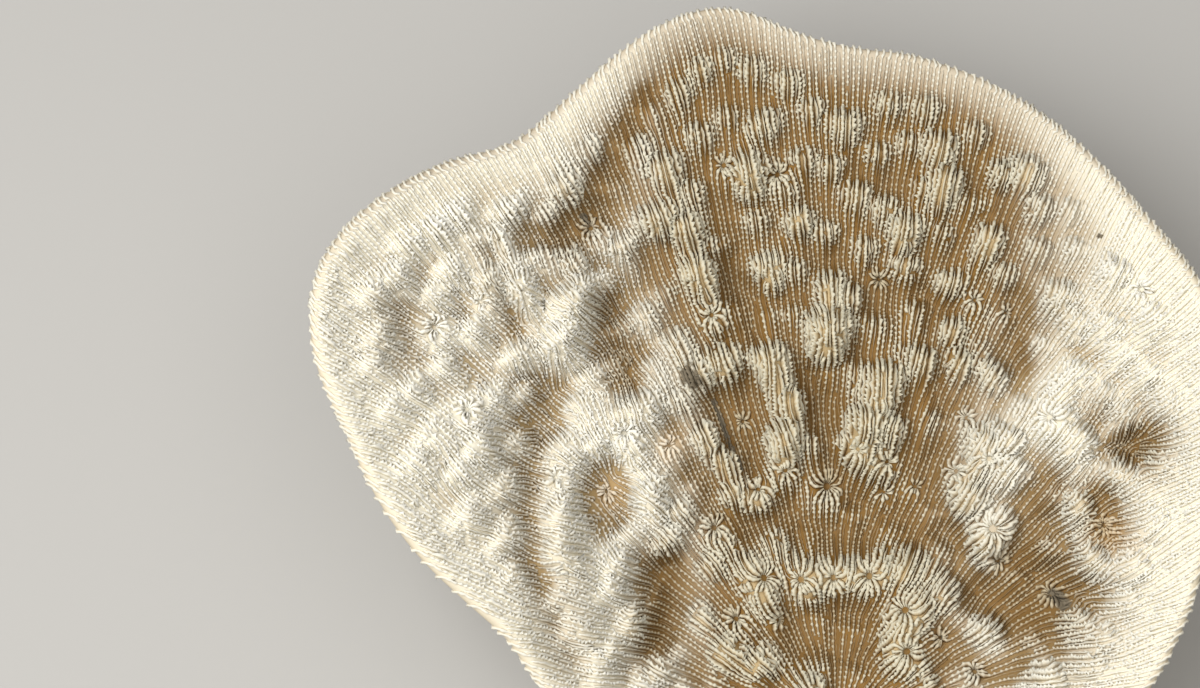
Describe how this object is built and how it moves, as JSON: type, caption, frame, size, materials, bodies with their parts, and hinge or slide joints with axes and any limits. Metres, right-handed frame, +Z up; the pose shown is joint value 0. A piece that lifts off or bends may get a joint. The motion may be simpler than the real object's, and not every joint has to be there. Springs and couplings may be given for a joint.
{
  "type": "cup coral skeleton",
  "caption": "Dried skeleton of a laminar cup coral: a thin lobed bowl with a ridged inner face, on a short stalk cut off flat.",
  "frame": {"origin": "middle of the flat cut at the foot of the stalk, on the surface that it stands on", "axes": "+Z up, out of the cut; the plate leans back, so +Y points at its high back edge and the hollow opens up and towards -Y; +X is the viewer's right, the long wing is on -X"},
  "size_m": [0.1432, 0.1398, 0.0687],
  "materials": {
    "coral_skeleton": "matt porous aragonite: near-white toothed crests over tan-brown grooves, finely grained"
  },
  "bodies": {
    "root": {"corallum": "coral_skeleton"}
  },
  "joints": []
}
